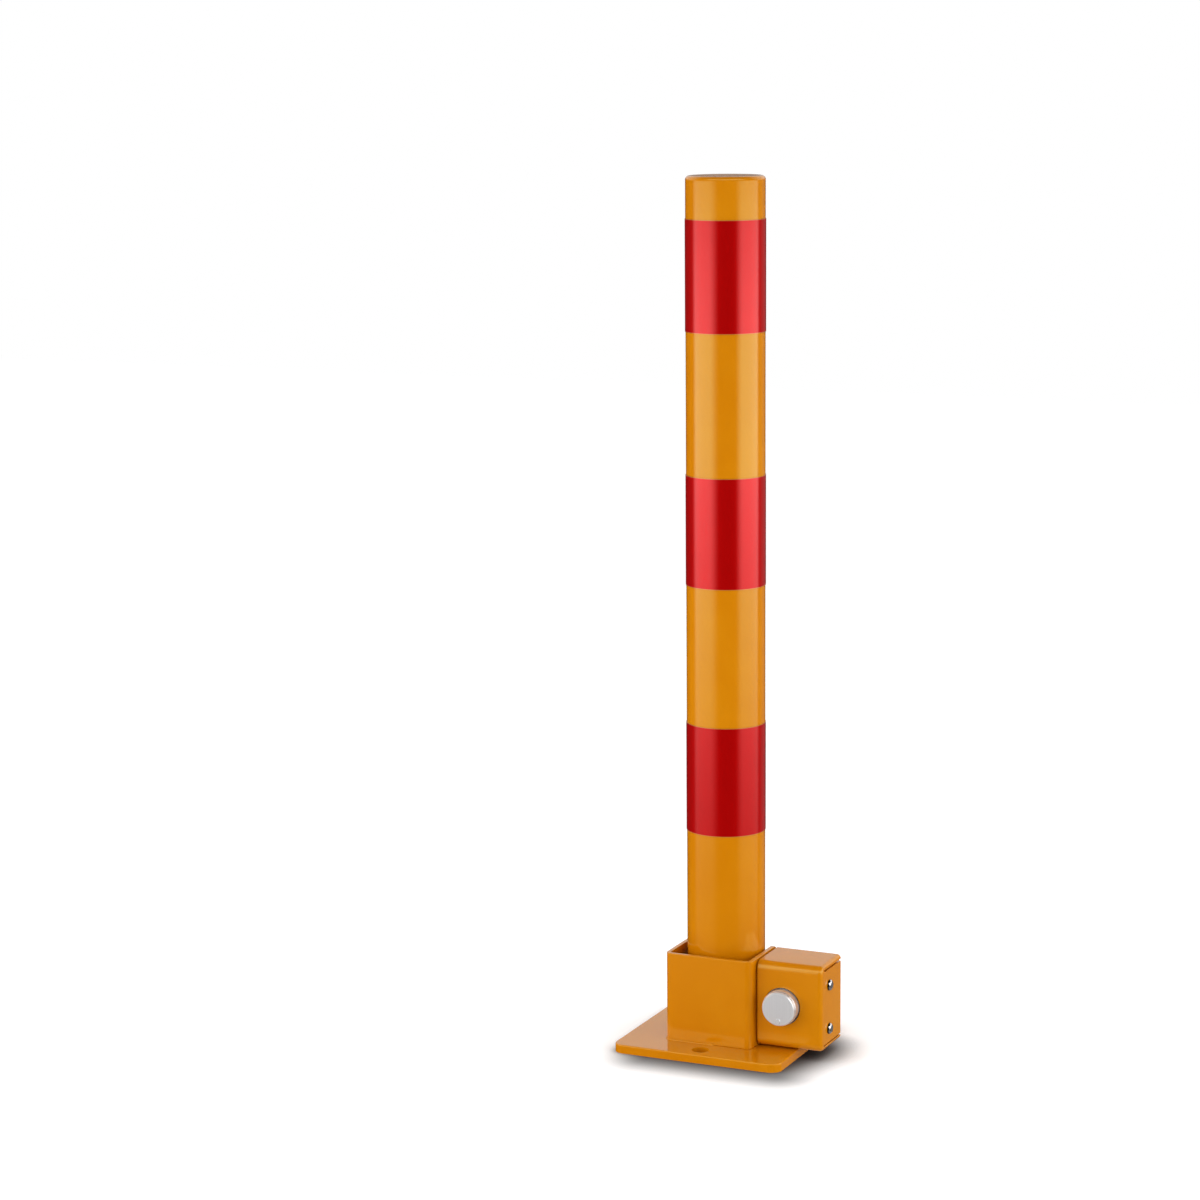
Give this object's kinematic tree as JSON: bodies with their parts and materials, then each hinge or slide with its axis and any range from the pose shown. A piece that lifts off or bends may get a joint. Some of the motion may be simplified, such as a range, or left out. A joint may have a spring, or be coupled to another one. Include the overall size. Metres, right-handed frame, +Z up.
{
  "type": "folding parking bollard",
  "caption": "Round steel post that folds back in a bracket on a base plate, with a key-operated push lock in a side box and red reflective bands.",
  "frame": {"origin": "on the upright post's axis, at the underside of the base plate", "axes": "+Z up along the upright post, -Y towards the lock's front, +X towards the lock box; the post folds back towards +Y"},
  "size_m": [0.144, 0.117, 0.6],
  "materials": {
    "yellow_paint": "glossy orange-yellow powder coat",
    "red_film": "glossy red reflective film",
    "zinc_steel": "zinc plated",
    "bright_steel": "bright plated",
    "satin_steel": "satin grey",
    "plug_brass": "turned",
    "bush_bronze": "plain bearing bronze"
  },
  "bodies": {
    "base": {"base_plate": "yellow_paint", "hinge_bracket": "yellow_paint", "upright_stop": "yellow_paint", "fold_rest": "yellow_paint", "pivot_bush_left": "bush_bronze", "pivot_bush_right": "bush_bronze", "head_washer": "zinc_steel", "lock_case": "yellow_paint", "lock_cover": "yellow_paint", "cover_screw_upper": "bright_steel", "cover_screw_lower": "bright_steel", "lock_guide": "zinc_steel", "guide_screw": "zinc_steel", "lock_spring": "zinc_steel"},
    "post": {"post_tube": "yellow_paint", "post_cap": "yellow_paint", "red_band_upper": "red_film", "red_band_middle": "red_film", "red_band_lower": "red_film", "hinge_sleeve": "yellow_paint", "pivot_shaft": "zinc_steel", "drive_pin": "zinc_steel", "locking_disc": "zinc_steel", "disc_washer": "zinc_steel", "disc_nut": "zinc_steel"},
    "lock_barrel_body": {"lock_barrel": "bright_steel", "dust_cover_rivet": "satin_steel"},
    "key_plug_body": {"lock_plug": "plug_brass", "lock_bolt": "zinc_steel"},
    "dust_cover_body": {"dust_cover": "satin_steel"}
  },
  "joints": [
    {"name": "post_fold", "type": "hinge", "parent": "base", "child": "post", "pos_m": [0, 0.0061, 0.0369], "axis": [-1, 0, 0], "range_deg": [0, 90]},
    {"name": "lock_press", "type": "slide", "parent": "base", "child": "lock_barrel_body", "axis": [0, 1, 0], "range_m": [0, 0.0055], "stiffness_N_per_m": 400, "springref_m": -0.006, "deforming": ["lock_spring"]},
    {"name": "key_turn", "type": "hinge", "parent": "lock_barrel_body", "child": "key_plug_body", "pos_m": [0.0515, -0.0313, 0.0369], "axis": [0, 1, 0], "range_deg": [0, 90]},
    {"name": "dust_cover_swing", "type": "hinge", "parent": "lock_barrel_body", "child": "dust_cover_body", "pos_m": [0.0515, -0.033, 0.0283], "axis": [0, 1, 0], "range_deg": [0, 165]}
  ]
}
